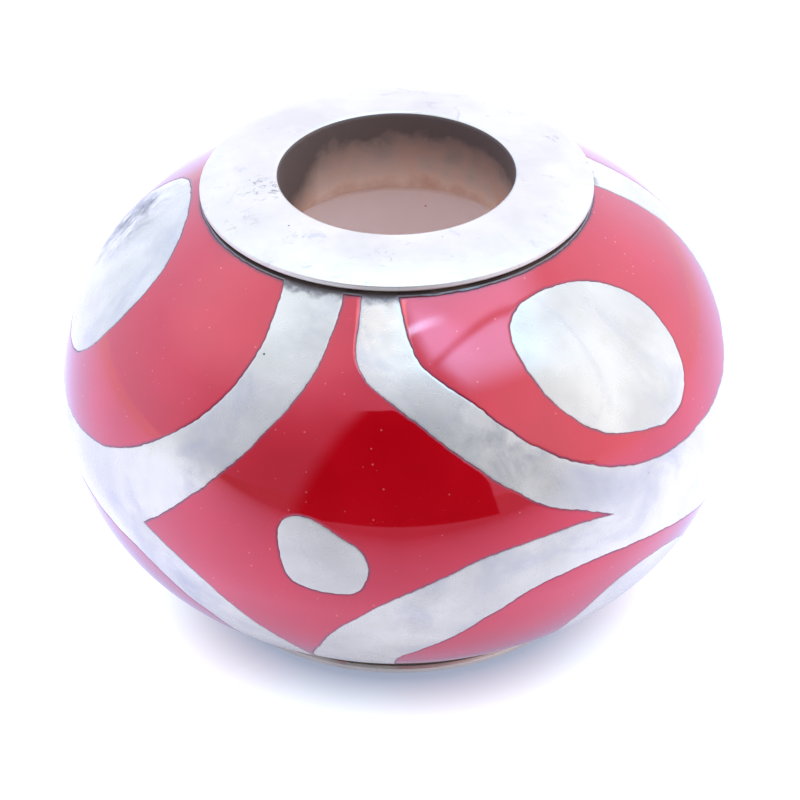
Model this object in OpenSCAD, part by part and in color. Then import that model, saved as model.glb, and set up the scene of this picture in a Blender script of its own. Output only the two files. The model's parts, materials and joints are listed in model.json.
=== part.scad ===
// Bead charm: a squat silver bead with a large hole, its wall laid out in
// silver bands and islands with red enamel between them, and a domed silver
// cap with a collar pressed into each end. It stands on its lower cap, with
// the hole along Z and the ground at Z = 0. All lengths are millimetres.

/* [Bead] */
// Diameter at the belly
belly_d = 14; // [13.6:0.1:14.4]
// Radius of the rounded section of the wall
section_r = 4.5; // [4.45:0.01:4.55]
// Angle up the section at which the rounding ends and the shoulder runs straight
shoulder_lat = 55; // [54.5:0.25:55.5]
// Height over both caps
height = 9.93; // [9.9:0.01:10]
// Diameter of the rough bore through the silver body
body_bore_d = 5.4; // [5.38:0.01:5.5]
// Height of the silver body, without the caps
body_h = 8.92; // [8.88:0.01:8.92]

/* [Caps] */
// Diameter of the hole through the caps
hole_d = 4.8; // [4.7:0.01:4.82]
// Outer diameter of a cap
cap_d = 8.04; // [7.9:0.01:8.1]
// Height of the cap's rim above the middle of the bead
rim_rise = 4.68; // [4.67:0.01:4.72]
// Thickness of the cap at its rim
rim_t = 0.14; // [0.12:0.01:0.15]
// Width of the flat ring round the hole
land_w = 0.2; // [0.15:0.01:0.3]
// Radius of the rounded lip between that ring and the hole
lip_r = 0.12; // [0.08:0.01:0.15]
// Outer diameter of the collar inside the bore
collar_d = 5.32; // [5.2:0.01:5.34]
// Length of the collar, from the top of the cap to its inner end
collar_l = 1.8; // [1.5:0.05:2.2]

/* [Enamel] */
// Depth of the recesses that hold the enamel, below the rounded section
recess_depth = 0.5; // [0.4:0.05:0.55]
// Gap left between enamel and silver
seat_gap = 0.03; // [0.02:0.005:0.04]

/* [Hidden] */

$fn = 96;
silver = [0.86, 0.87, 0.89];
cap_silver = [0.92, 0.93, 0.95];
enamel_red = [0.80, 0.16, 0.24];

mid_z = height / 2;
ring_r = belly_d / 2 - section_r;
hole_r = hole_d / 2;
rim_r = cap_d / 2;

// Where the shoulder starts, and how far out it ends at the body's flat end
shoulder_rise = section_r * sin(shoulder_lat);
shoulder_out = ring_r + section_r * cos(shoulder_lat);
end_rise = body_h / 2;
end_out = shoulder_out - (end_rise - shoulder_rise) * tan(shoulder_lat);

land_r = hole_r + lip_r + land_w;

// Rounding of the outer corner of the cap's rim
rim_round = 0.05;
// Width of the flat seat under the cap, outside the collar
seat_r = 3.6;
// Space between the end of the body and the cap's seat
cap_gap = 0.04;

// Drawing of the enamel. A place on the wall is [turn, lat]: turn is the
// angle round the hole, 0 at the front and growing to the right, and lat is
// the angle up the rounded section, 0 at the belly and 90 at the top.
top_lat = 76;

// The drawing repeats three times round the bead, by hand and not evenly.
// Each row is one diamond: where the neck above it stands, how much wider
// than the front one's each half of that neck is, and how far the lines
// left and right of the neck are stretched.
NECK = 0;
WIDEN = 1;
LEFT = 2;
RIGHT = 3;
diamonds = [
    [-13, 0, 1, 1],
    [120.5, 4.75, 1.02, 0.85],
    [220, 0, 0.85, 0.9]
];

// Edges of a diamond and of the cells beside it, as rows of [turn, lat],
// with the turn counted from the neck and each edge read from its end of
// the bead towards the belly
diamond_upper_left = [
    [-2.9, top_lat], [-2.6, 66], [-4.8, 50.3], [-8.4, 40],
    [-15.1, 25.8], [-21.1, 15.2], [-28.5, 3.6], [-35.1, -5.2]
];
diamond_upper_right = [
    [2.4, top_lat], [3, 66], [3.4, 55.8], [6.2, 48.7], [14.7, 39.7],
    [22.9, 29.7], [30.7, 19.8], [38.3, 11.5], [44.8, 7.3], [50.6, 2.8]
];
diamond_lower_left = [
    [-8, -top_lat], [-8, -60], [-7.4, -46.8], [-9.3, -38.7],
    [-14.2, -29.5], [-20.2, -19.7], [-25.9, -12.5], [-35.1, -5.2]
];
diamond_lower_right = [
    [-5, -top_lat], [-5, -60], [-5.9, -46.7], [-2.3, -34.5], [1.2, -25],
    [9, -13.6], [15.7, -7.4], [25.7, 0.1], [33, 2.6], [42.9, 4], [50.6, 2.8]
];
upper_cell_left = [
    [12.3, top_lat], [13.7, 68], [15.3, 59.8], [18.4, 51.7],
    [26, 43.1], [31.9, 34.9], [37.8, 27.2], [45.1, 20.2]
];
upper_cell_right = [
    [-23.5, top_lat], [-19.9, 67], [-18.5, 55.2], [-19.8, 45.1],
    [-23.5, 34.3], [-31.5, 22.2]
];
lower_cell_left = [
    [11, -top_lat], [11, -60], [11.9, -42.9], [16.7, -34.8], [21.6, -28.6]
];
lower_cell_right = [
    [-20, -top_lat], [-21, -60], [-24, -38], [-29, -29]
];

// The stretch of each cell's edge that runs along the belly, from left to
// right, as rows of [turn, lat]
upper_belly = [
    [[42, 14], [55, 11.1], [72.8, 13.6]],
    [[171, 12.5], [182, 12]],
    [[-91, 11], [-77, 5.6], [-63.5, 7.4], [-54.2, 12.4]]
];
lower_belly = [
    [[16.4, -18.4], [24.3, -11.5], [36.1, -9.1], [52.1, -12.4], [68.1, -19.3]],
    [[152, -17], [163, -10.5], [175, -10], [186, -17]],
    [[-112, -17], [-100, -10], [-82, -9], [-60, -14.6], [-50, -19]]
];

// Silver islands: the turn and lat of the middle, and the reach of the edge
// from there towards eight even bearings, the first to the right and the
// third straight up
TURN = 0;
LAT = 1;
REACH = 2;
diamond_islands = [
    [-13, 1.5, [0.89, 0.64, 0.72, 1.09, 0.88, 0.91, 0.85, 1.03]],
    [120.5, 1, [0.95, 0.80, 0.85, 1.00, 0.85, 0.90, 0.80, 0.95]],
    [221, 0, [0.85, 0.75, 0.80, 1.00, 0.90, 0.85, 0.80, 0.90]]
];
upper_islands = [
    [45.5, 43, [1.83, 1.58, 1.69, 1.98, 1.76, 1.62, 1.69, 2.27]],
    [176, 43, [1.35, 1.45, 1.75, 1.50, 1.40, 1.45, 1.80, 1.60]],
    [-90, 44, [2.10, 1.86, 1.89, 2.04, 2.10, 1.95, 1.98, 2.29]]
];
lower_islands = [
    [52, -43, [1.74, 1.73, 1.78, 2.04, 1.84, 1.70, 1.75, 1.80]],
    [168, -43, [1.45, 1.50, 1.70, 1.50, 1.40, 1.50, 1.70, 1.50]],
    [-88, -43, [1.90, 1.75, 1.80, 1.90, 1.95, 1.80, 1.80, 1.90]]
];

// Points drawn on each span of an edge and of an island, and the widest
// step of a line round the bead
edge_points = 2;
island_points = 3;
row_step = 9;

// A cutter reaches this far out of the wall, and this far past the recess
cutter_out = 2.5;
cutter_in = 0.5;

// Lat between the middle of a cell or an island and each of its hubs
cell_spread = 12;
island_spread = 3;

// Lats of the low and the high hub of a diamond
diamond_spread = [-15, 20];

// Turn of the line along which every form spun round the hole closes
closing_turn = 24;

// Sides of the circle that the cap's dome is cut from
dome_sides = 360;

// Least share of its distance that a moved outline keeps at a sharp corner
sharpest = 0.3;

// Place on the wall, lifted off it along its own normal
function wall_point(p, lift = 0) =
    let (out = ring_r + (section_r + lift) * cos(p[1]))
    [out * sin(p[0]), -out * cos(p[0]), mid_z + (section_r + lift) * sin(p[1])];

// Length on the wall of one degree of turn, and of one degree of lat
function turn_mm(lat) = (ring_r + section_r * cos(lat)) * PI / 180;
function lat_mm() = section_r * PI / 180;

// Smooth curve through four values, at part t of the way from b to c
function smooth(a, b, c, d, t) =
    0.5 * (2 * b + (c - a) * t + (2 * a - 5 * b + 4 * c - d) * t * t
        + (3 * b - a - 3 * c + d) * t * t * t);

// Open curve through all points, without its last point
function curve(points) =
    let (last = len(points) - 1)
    [for (i = [0 : last - 1], k = [0 : edge_points - 1])
        smooth(points[max(i - 1, 0)], points[i], points[i + 1],
            points[min(i + 2, last)], k / edge_points)];

// Line round the bead at one lat, without its last point
function row(turn_a, turn_b, lat) =
    let (steps = ceil(abs(turn_b - turn_a) / row_step))
    [for (i = [0 : steps - 1]) [turn_a + (turn_b - turn_a) * i / steps, lat]];

function reversed(points) = [for (i = [len(points) - 1 : -1 : 0]) points[i]];

// An edge table placed left or right of the neck of diamond d
function placed(edge, d, side) =
    let (form = diamonds[d], way = side == LEFT ? -1 : 1)
    [for (p = edge) [form[NECK] + way * form[WIDEN] + p[0] * form[side], p[1]]];

// The same edge one whole turn on, for a cell that closes the round
function turned(points, turn) = [for (p = points) [p[0] + turn, p[1]]];

// Outlines, each counter-clockwise as seen from outside the bead
function diamond_outline(d) =
    let (
        upper_left = placed(diamond_upper_left, d, LEFT),
        lower_left = placed(diamond_lower_left, d, LEFT),
        upper_right = placed(diamond_upper_right, d, RIGHT),
        lower_right = placed(diamond_lower_right, d, RIGHT)
    )
    concat(
        curve(upper_left),
        curve(reversed(lower_left)),
        row(lower_left[0][0], lower_right[0][0], -top_lat),
        curve(lower_right),
        curve(reversed(upper_right)),
        row(upper_right[0][0], upper_left[0][0], top_lat)
    );

// Cell i lies between diamond i and the next one. The third diamond's edges
// are taken one turn back for the cell left of the front.
function left_edge(edge, i) = turned(placed(edge, i, RIGHT), i == 2 ? -360 : 0);
function right_edge(edge, i) = placed(edge, (i + 1) % 3, LEFT);

function upper_outline(i) =
    let (
        left = left_edge(upper_cell_left, i),
        right = right_edge(upper_cell_right, i)
    )
    concat(
        curve(concat(left, upper_belly[i], reversed(right))),
        row(right[0][0], left[0][0], top_lat)
    );

function lower_outline(i) =
    let (
        left = left_edge(lower_cell_left, i),
        right = right_edge(lower_cell_right, i)
    )
    concat(
        curve(concat(right, reversed(lower_belly[i]), reversed(left))),
        row(left[0][0], right[0][0], -top_lat)
    );

function island_outline(island) =
    let (reach = island[REACH], n = len(reach))
    [for (i = [0 : n - 1], k = [0 : island_points - 1])
        let (
            t = k / island_points,
            far = smooth(reach[(i + n - 1) % n], reach[i], reach[(i + 1) % n],
                reach[(i + 2) % n], t),
            bearing = (i + t) * 360 / n,
            lat = island[LAT] + far * sin(bearing) / lat_mm()
        )
        [island[TURN] + far * cos(bearing) / turn_mm(lat), lat]];

// Outline moved by the distance d to its left, which is inwards
function unit(v) = v / norm(v);
function left_of(v) = [-v[1], v[0]];
function moved(outline, d) =
    let (n = len(outline))
    [for (i = [0 : n - 1])
        let (
            p = outline[i],
            scale_mm = [turn_mm(p[1]), lat_mm()],
            from = p - outline[(i + n - 1) % n],
            to = outline[(i + 1) % n] - p,
            into = unit([from[0] * scale_mm[0], from[1] * scale_mm[1]]),
            away = unit([to[0] * scale_mm[0], to[1] * scale_mm[1]]),
            side = left_of(unit(into + away)),
            reach = d / max(sharpest, side * left_of(into))
        )
        [p[0] + side[0] * reach / scale_mm[0], p[1] + side[1] * reach / scale_mm[1]]];

// Outline read from its leftmost point
function turns_of(outline) = [for (p = outline) p[0]];
function place_of(value, list) = search(value, list)[0];
function from_left(outline) =
    let (n = len(outline), first = place_of(min(turns_of(outline)), turns_of(outline)))
    [for (k = [0 : n - 1]) outline[(first + k) % n]];

// Solid that stands on an outline, its walls square to the bead's wall. Each
// end is two fans of triangles, round a low and a high hub inside the
// outline, that meet along the line through both hubs.
module cutter(outline, hubs) {
    rim = from_left(outline);
    n = len(rim);
    rightmost = place_of(max(turns_of(rim)), turns_of(rim));
    lifts = [-recess_depth - cutter_in, cutter_out];
    points = [for (lift = lifts) each [for (p = concat(rim, hubs)) wall_point(p, lift)]];
    low = n;
    high = n + 1;
    out = n + 2;
    faces = [
        for (i = [0 : n - 1])
            let (j = (i + 1) % n, hub = i < rightmost ? low : high)
            each [
                [i, out + i, out + j],
                [i, out + j, j],
                [hub, i, j],
                [out + hub, out + j, out + i]
            ],
        [0, low, high],
        [out, out + high, out + low],
        [rightmost, high, low],
        [out + rightmost, out + low, out + high]
    ];
    polyhedron(points, faces);
}

// Half section spun round the hole, with its y = 0 at the bead's middle
module spun() {
    translate([0, 0, mid_z])
        rotate([0, 0, closing_turn - 90])
            rotate_extrude()
                children();
}

// Everything deeper than the floor of the recesses
module core(depth) {
    spun()
        intersection() {
            translate([ring_r, 0])
                circle(section_r - depth);
            translate([0, -section_r])
                square([belly_d, 2 * section_r]);
        }
}

// Outer form of the bead between its two flat ends: rounded round the
// belly, and straight from there up and down to the caps
module barrel(bore_r) {
    spun() {
        intersection() {
            translate([ring_r, 0])
                circle(section_r);
            translate([bore_r, -shoulder_rise])
                square([belly_d, 2 * shoulder_rise]);
        }
        polygon([
            [bore_r, -end_rise], [end_out, -end_rise], [shoulder_out, -shoulder_rise],
            [shoulder_out, shoulder_rise], [end_out, end_rise], [bore_r, end_rise]
        ]);
    }
}

// Hubs of a diamond, of a cell beside it and of an island
function mean_turn(a, b) = (a[0] + b[0]) / 2;
function diamond_hubs(d) = [
    [mean_turn(placed(diamond_lower_left, d, LEFT)[0],
        placed(diamond_lower_right, d, RIGHT)[0]), diamond_spread[0]],
    [mean_turn(placed(diamond_upper_left, d, LEFT)[0],
        placed(diamond_upper_right, d, RIGHT)[0]), diamond_spread[1]]
];
function hubs_round(island, spread) = [
    [island[TURN], island[LAT] - spread],
    [island[TURN], island[LAT] + spread]
];

// Recess for one cell, round its island
module recess(outline, hubs, island) {
    difference() {
        cutter(outline, hubs);
        core(recess_depth);
        cutter(island_outline(island), hubs_round(island, island_spread));
    }
}

// Enamel that fills one cell, clear of the silver by the seat gap
module enamel(outline, hubs, island) {
    color(enamel_red)
        difference() {
            intersection() {
                barrel(body_bore_d / 2);
                cutter(moved(outline, seat_gap), hubs);
            }
            core(recess_depth - seat_gap);
            cutter(moved(island_outline(island), -seat_gap),
                hubs_round(island, island_spread));
        }
}

module bead_body() {
    color(silver)
        difference() {
            barrel(body_bore_d / 2);
            for (i = [0 : 2]) {
                recess(diamond_outline(i), diamond_hubs(i), diamond_islands[i]);
                recess(upper_outline(i), hubs_round(upper_islands[i], cell_spread),
                    upper_islands[i]);
                recess(lower_outline(i), hubs_round(lower_islands[i], cell_spread),
                    lower_islands[i]);
            }
        }
}

// Half section of a cap, with the bead's middle at y = 0
module cap_section() {
    top = height / 2;
    seat = end_rise + cap_gap;
    drop = top - rim_rise;
    reach = rim_r - land_r;
    dome_r = (reach * reach + drop * drop) / (2 * drop);
    difference() {
        union() {
            intersection() {
                translate([land_r, top - dome_r])
                    circle(dome_r, $fn = dome_sides);
                polygon([
                    [land_r, seat], [seat_r, seat], [rim_r - rim_round, rim_rise - rim_t],
                    [rim_r, rim_rise - rim_t + rim_round], [rim_r, top], [land_r, top]
                ]);
            }
            translate([hole_r, seat])
                square([land_r - hole_r, top - seat]);
            translate([hole_r, top - collar_l])
                square([collar_d / 2 - hole_r, collar_l]);
        }
        difference() {
            translate([hole_r - lip_r, top - lip_r])
                square(2 * lip_r);
            translate([hole_r + lip_r, top - lip_r])
                circle(lip_r);
        }
    }
}

module cap() {
    color(cap_silver)
        rotate_extrude()
            cap_section();
}

module cap_top() {
    translate([0, 0, mid_z])
        cap();
}

module cap_bottom() {
    translate([0, 0, mid_z])
        mirror([0, 0, 1])
            cap();
}

module enamel_diamond(i) {
    enamel(diamond_outline(i), diamond_hubs(i), diamond_islands[i]);
}

module enamel_upper(i) {
    enamel(upper_outline(i), hubs_round(upper_islands[i], cell_spread),
        upper_islands[i]);
}

module enamel_lower(i) {
    enamel(lower_outline(i), hubs_round(lower_islands[i], cell_spread),
        lower_islands[i]);
}

bead_body();
cap_top();
cap_bottom();
enamel_diamond(0);  // enamel_diamond_1
enamel_diamond(1);  // enamel_diamond_2
enamel_diamond(2);  // enamel_diamond_3
enamel_upper(0);  // enamel_upper_1
enamel_upper(1);  // enamel_upper_2
enamel_upper(2);  // enamel_upper_3
enamel_lower(0);  // enamel_lower_1
enamel_lower(1);  // enamel_lower_2
enamel_lower(2);  // enamel_lower_3
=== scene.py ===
# %% [markdown]
# # A silver and red enamel bead charm
#
# The real thing is a squat silver bead, 14 mm across, with a hole wide enough for a
# bracelet. Its round wall was cast with recesses, the recesses were filled with powdered
# glass and fired, and the whole wall was then ground flush and polished. A thin domed cap
# with a collar is pressed into each end of the hole.
#
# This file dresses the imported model: it keeps its sizes and its places, and makes the
# finer edges, surfaces, light and camera.

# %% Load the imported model
import json
import math

import bpy
import numpy as np
from mathutils import Matrix, Vector
from mathutils.geometry import delaunay_2d_cdt
from mathutils.kdtree import KDTree

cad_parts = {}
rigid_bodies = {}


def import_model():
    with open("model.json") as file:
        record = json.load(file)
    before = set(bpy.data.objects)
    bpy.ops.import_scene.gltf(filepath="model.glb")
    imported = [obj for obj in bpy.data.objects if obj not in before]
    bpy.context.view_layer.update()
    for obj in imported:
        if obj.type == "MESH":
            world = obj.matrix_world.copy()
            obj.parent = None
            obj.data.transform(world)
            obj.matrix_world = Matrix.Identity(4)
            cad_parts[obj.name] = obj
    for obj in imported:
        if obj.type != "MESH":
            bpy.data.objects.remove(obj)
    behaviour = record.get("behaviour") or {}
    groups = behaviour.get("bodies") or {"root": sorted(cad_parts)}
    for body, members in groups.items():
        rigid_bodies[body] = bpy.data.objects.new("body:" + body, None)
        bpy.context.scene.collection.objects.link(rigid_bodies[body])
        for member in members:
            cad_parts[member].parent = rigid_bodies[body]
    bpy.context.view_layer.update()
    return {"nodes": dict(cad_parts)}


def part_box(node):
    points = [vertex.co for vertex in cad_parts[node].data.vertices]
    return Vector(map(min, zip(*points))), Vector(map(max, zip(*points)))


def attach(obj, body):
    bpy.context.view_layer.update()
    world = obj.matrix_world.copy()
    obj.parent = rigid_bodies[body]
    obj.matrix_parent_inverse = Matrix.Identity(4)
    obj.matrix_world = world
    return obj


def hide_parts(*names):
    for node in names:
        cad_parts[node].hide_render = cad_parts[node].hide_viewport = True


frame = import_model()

print("nodes:", ", ".join(sorted(frame["nodes"])))

# %% [markdown]
# ## Sizes
#
# Every size is in millimetres, as a jeweller would measure it, and MM turns it into
# Blender's metres. The belly, the height and the cap come from the loaded model, so the
# dressed bead can't drift away from it. The rest are the thicknesses and radii that the
# model was drawn with.

# %% Sizes of the bead, in millimetres
MM = 0.001


def top_mm(node):
    """The highest x, y and z that a node reaches, in mm."""
    low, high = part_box(node)
    return np.array(high) / MM


body_high, cap_high = top_mm("bead_body"), top_mm("cap_top")
belly_r = round(max(body_high[:2]), 3)
height = round(cap_high[2], 3)
mid_z = height / 2
cap_r = round(max(cap_high[:2]), 3)
body_half = round(body_high[2] - mid_z, 3)
section_r = 4.5
ring_r = belly_r - section_r
bore_r = 2.7
hole_r = 2.4
recess_depth = 0.5
seat_gap = 0.03
shoulder_lat = 55
shoulder_out = ring_r + section_r * math.cos(math.radians(shoulder_lat))
shoulder_rise = section_r * math.sin(math.radians(shoulder_lat))
end_out = shoulder_out - (body_half - shoulder_rise) * math.tan(math.radians(shoulder_lat))
end_lat = math.degrees(math.atan2(body_half, end_out - ring_r))
cell_lat = end_lat - 0.4
print(f"belly {2 * belly_r:.2f}, height {height:.2f}, cap {2 * cap_r:.2f}, wall ends at lat {end_lat:.1f}")

# %% [markdown]
# ## The drawing on the wall
#
# A place on the wall is given by two angles: *turn* goes round the hole, 0 at the front
# and growing to the right, and *lat* goes up the rounded section, 0 at the belly and 90
# at the top. In these two angles the bead unrolls flat, so the pattern can be drawn like
# any other drawing. It repeats three times, but it was laid out by hand, so each repeat is
# stretched a little differently. Above lat 55 the wall is fuller than the circle: the
# model's shoulder runs straight up to the cap. A straight cone mirrors like a flat strip,
# so here the shoulder is a very shallow arc instead, within 0.02 mm of the cone.
#
# Only a few points are written down for each edge. A smooth curve runs through them, and
# it is the same curve that the model's solids use, drawn finer.

# %% The pattern's tables, the same as in the model
NECK, WIDEN, LEFT, RIGHT = range(4)
diamonds = [
    [-13, 0, 1, 1],
    [120.5, 4.75, 1.02, 0.85],
    [220, 0, 0.85, 0.9],
]
diamond_upper_left = [
    [-2.8, cell_lat], [-2.6, 66], [-4.8, 50.3], [-8.4, 40],
    [-15.1, 25.8], [-21.1, 15.2], [-28.5, 3.6], [-35.1, -5.2],
]
diamond_upper_right = [
    [2.6, cell_lat], [3, 66], [3.4, 55.8], [6.2, 48.7], [14.7, 39.7],
    [22.9, 29.7], [30.7, 19.8], [38.3, 11.5], [44.8, 7.3], [50.6, 2.8],
]
diamond_lower_left = [
    [-8, -cell_lat], [-8, -60], [-7.4, -46.8], [-9.3, -38.7],
    [-14.2, -29.5], [-20.2, -19.7], [-25.9, -12.5], [-35.1, -5.2],
]
diamond_lower_right = [
    [-5, -cell_lat], [-5, -60], [-5.9, -46.7], [-2.3, -34.5], [1.2, -25],
    [9, -13.6], [15.7, -7.4], [25.7, 0.1], [33, 2.6], [42.9, 4], [50.6, 2.8],
]
upper_cell_left = [
    [13.1, cell_lat], [13.7, 68], [15.3, 59.8], [18.4, 51.7],
    [26, 43.1], [31.9, 34.9], [37.8, 27.2], [45.1, 20.2],
]
upper_cell_right = [
    [-21.6, cell_lat], [-19.9, 67], [-18.5, 55.2], [-19.8, 45.1],
    [-23.5, 34.3], [-31.5, 22.2],
]
lower_cell_left = [
    [11, -cell_lat], [11, -60], [11.9, -42.9], [16.7, -34.8], [21.6, -28.6],
]
lower_cell_right = [
    [-20, -cell_lat], [-21, -60], [-24, -38], [-29, -29],
]
upper_belly = [
    [[42, 14], [55, 11.1], [72.8, 13.6]],
    [[171, 12.5], [182, 12]],
    [[-91, 11], [-77, 5.6], [-63.5, 7.4], [-54.2, 12.4]],
]
lower_belly = [
    [[16.4, -18.4], [24.3, -11.5], [36.1, -9.1], [52.1, -12.4], [68.1, -19.3]],
    [[152, -17], [163, -10.5], [175, -10], [186, -17]],
    [[-112, -17], [-100, -10], [-82, -9], [-60, -14.6], [-50, -19]],
]
# Each island: turn and lat of its middle, and its reach in mm towards eight bearings
diamond_islands = [
    [-13, 1.5, [0.89, 0.64, 0.72, 1.09, 0.88, 0.91, 0.85, 1.03]],
    [120.5, 1, [0.95, 0.80, 0.85, 1.00, 0.85, 0.90, 0.80, 0.95]],
    [221, 0, [0.85, 0.75, 0.80, 1.00, 0.90, 0.85, 0.80, 0.90]],
]
upper_islands = [
    [45.5, 43, [1.83, 1.58, 1.69, 1.98, 1.76, 1.62, 1.69, 2.27]],
    [176, 43, [1.35, 1.45, 1.75, 1.50, 1.40, 1.45, 1.80, 1.60]],
    [-90, 44, [2.10, 1.86, 1.89, 2.04, 2.10, 1.95, 1.98, 2.29]],
]
lower_islands = [
    [52, -43, [1.74, 1.73, 1.78, 2.04, 1.84, 1.70, 1.75, 1.80]],
    [168, -43, [1.45, 1.50, 1.70, 1.50, 1.40, 1.50, 1.70, 1.50]],
    [-88, -43, [1.90, 1.75, 1.80, 1.90, 1.95, 1.80, 1.80, 1.90]],
]
print(len(diamonds), "repeats of the pattern")

# %% Lengths on the wall
LAT_MM = math.radians(section_r)


def turn_mm(lat):
    """Millimetres on the wall of one degree of turn."""
    return np.radians(ring_r + section_r * np.cos(np.radians(lat)))


# The shoulder's arc: the lat where it starts, and its radius in mm
ARC_LAT, ARC_R = 52.0, 16.4


def shoulder_lift(lat):
    """How far the shoulder's shallow arc stands off the circle, in mm."""
    past = np.radians(np.clip(np.abs(lat) - ARC_LAT, 0, None))
    off = ARC_R - section_r
    return np.sqrt(ARC_R ** 2 - (off * np.sin(past)) ** 2) - off * np.cos(past) - section_r


def wall_points(places):
    """Points in space, in mm, of [turn, lat] places on the wall."""
    turn, lat = np.radians(np.asarray(places, float)).T
    reach = section_r + shoulder_lift(np.degrees(lat))
    out, rise = ring_r + reach * np.cos(lat), mid_z + reach * np.sin(lat)
    return np.stack([out * np.sin(turn), -out * np.cos(turn), rise], 1)


def steps_mm(places, closed=False):
    """Length of each step along a row of places."""
    places = np.asarray(places, float)
    ahead = np.roll(places, -1, 0) if closed else places[1:]
    here = places if closed else places[:-1]
    return np.linalg.norm(wall_points(ahead) - wall_points(here), axis=1)


# %% [markdown]
# ## Smooth edges with a hand-made waver
#
# A Catmull-Rom curve goes through each of its points, which suits a line that was measured
# at those points. The curve is then cut into even steps of a few hundredths of a
# millimetre. A cutter held by hand leaves a slightly ragged edge, so each point then moves
# a little to the side: a slow waver, a fine one, and a nick here and there.

# %% Curves through the tables
ROUND = 2 * math.pi
EDGE_STEP = 0.04
ROW_POINTS = 60


def smooth(points, closed=False, fine=24):
    """Dense Catmull-Rom curve through points. An open one keeps its last point."""
    p = np.asarray(points, float)
    if closed:
        before, after = np.roll(p, 1, 0), np.roll(p, -1, 0)
        later = np.roll(p, -2, 0)
    else:
        before = np.concatenate([p[:1], p[:-2]])
        after = p[1:]
        later = np.concatenate([p[2:], p[-1:]])
        last, p = p[-1:], p[:-1]
    t = (np.arange(fine) / fine)[None, :, None]
    a, b, c, d = (q[:, None] for q in (before, p, after, later))
    run = 0.5 * (2 * b + (c - a) * t + (2 * a - 5 * b + 4 * c - d) * t ** 2
                 + (3 * b - a - 3 * c + d) * t ** 3)
    run = run.reshape(-1, p.shape[1])
    return run if closed else np.concatenate([run, last])


def even(run, step=EDGE_STEP):
    """The run cut into even steps along the wall, without its last point."""
    run = np.asarray(run, float)
    along = np.concatenate([[0], np.cumsum(steps_mm(run))])
    count = max(2, round(along[-1] / step))
    at = np.arange(count) * along[-1] / count
    return np.stack([np.interp(at, along, run[:, k]) for k in (0, 1)], 1)


def placed(edge, d, side):
    """An edge table placed left or right of the neck of diamond d."""
    form = diamonds[d]
    way = -1 if side == LEFT else 1
    return np.array([[form[NECK] + way * form[WIDEN] + turn * form[side], lat]
                     for turn, lat in edge])


def ring_row(start, end, lat):
    """A row of places round the bead at one lat."""
    return np.stack([np.linspace(start, end, ROW_POINTS), np.full(ROW_POINTS, float(lat))], 1)


# %% Outlines of the enamel cells and of the silver islands
def diamond_outline(d):
    """Down the left of diamond d, along the lower cap, up the right and back along the upper cap."""
    upper_left, lower_left = placed(diamond_upper_left, d, LEFT), placed(diamond_lower_left, d, LEFT)
    upper_right = placed(diamond_upper_right, d, RIGHT)
    lower_right = placed(diamond_lower_right, d, RIGHT)
    return np.concatenate([
        even(smooth(upper_left)),
        even(smooth(lower_left[::-1])),
        even(ring_row(lower_left[0, 0], lower_right[0, 0], -cell_lat)),
        even(smooth(lower_right)),
        even(smooth(upper_right[::-1])),
        even(ring_row(upper_right[0, 0], upper_left[0, 0], cell_lat)),
    ])


def side_outline(i, left_table, right_table, belly, lat):
    """Round the cell between diamond i and the next one, with the glass on the left: a side,
    the belly, the other side and back along the cap at a lat. A lower cell starts on its right."""
    left, right = placed(left_table, i, RIGHT), placed(right_table, (i + 1) % 3, LEFT)
    left[:, 0] -= 360 if i == 2 else 0
    first, last, along = (left, right, belly) if lat > 0 else (right, left, belly[::-1])
    return np.concatenate([
        even(smooth(np.concatenate([first, along, last[::-1]]))),
        even(ring_row(last[0, 0], first[0, 0], lat)),
    ])


def island_outline(turn, lat, reach):
    """Round an island, whose reach in mm is given towards even bearings."""
    far = smooth(np.array(reach)[:, None], closed=True)[:, 0]
    bearing = np.arange(len(far)) * ROUND / len(far)
    lats = lat + far * np.sin(bearing) / LAT_MM
    ring = np.stack([turn + far * np.cos(bearing) / turn_mm(lats), lats], 1)
    return even(np.concatenate([ring, ring[:1]]))


cells = {}
for i in range(3):
    upper = side_outline(i, upper_cell_left, upper_cell_right, upper_belly[i], cell_lat)
    lower = side_outline(i, lower_cell_left, lower_cell_right, lower_belly[i], -cell_lat)
    cells[f"diamond_{i + 1}"] = diamond_outline(i), island_outline(*diamond_islands[i])
    cells[f"upper_{i + 1}"] = upper, island_outline(*upper_islands[i])
    cells[f"lower_{i + 1}"] = lower, island_outline(*lower_islands[i])
print({name: (len(outer), len(island)) for name, (outer, island) in cells.items()})

# %% Side-steps of an outline, and the hand's waver
# Each waver: its size, its shortest and longest wave, all in mm, and its number of waves
WAVERS = [(0.006, 0.5, 1.6, 8), (0.003, 0.13, 0.35, 10)]
# A nick: its greatest depth, the length of line to each, and its reach, all in mm
NICK, NICK_EVERY, NICK_REACH = 0.018, 2.5, (0.05, 0.11)
random_hand = np.random.default_rng(7)


def wall_scale(loop):
    """Millimetres of one degree of turn and of lat, at each point of a loop."""
    return np.stack([turn_mm(loop[:, 1]), np.full(len(loop), LAT_MM)], 1)


def left_normals(loop):
    """Unit vectors in mm to the left of a closed loop, one for each point."""
    to = (np.roll(loop, -1, 0) - loop) * wall_scale(loop)
    to /= np.linalg.norm(to, axis=1)[:, None]
    both = to + np.roll(to, 1, 0)
    both /= np.maximum(np.linalg.norm(both, axis=1)[:, None], 1e-9)
    side = np.stack([-both[:, 1], both[:, 0]], 1)
    lean = np.maximum((side * np.stack([-to[:, 1], to[:, 0]], 1)).sum(1), 0.25)
    return side / lean[:, None]


def side_step(loop, distance):
    """The loop with each point moved to its left by a distance in mm."""
    return loop + left_normals(loop) * np.asarray(distance)[..., None] / wall_scale(loop)


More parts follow.
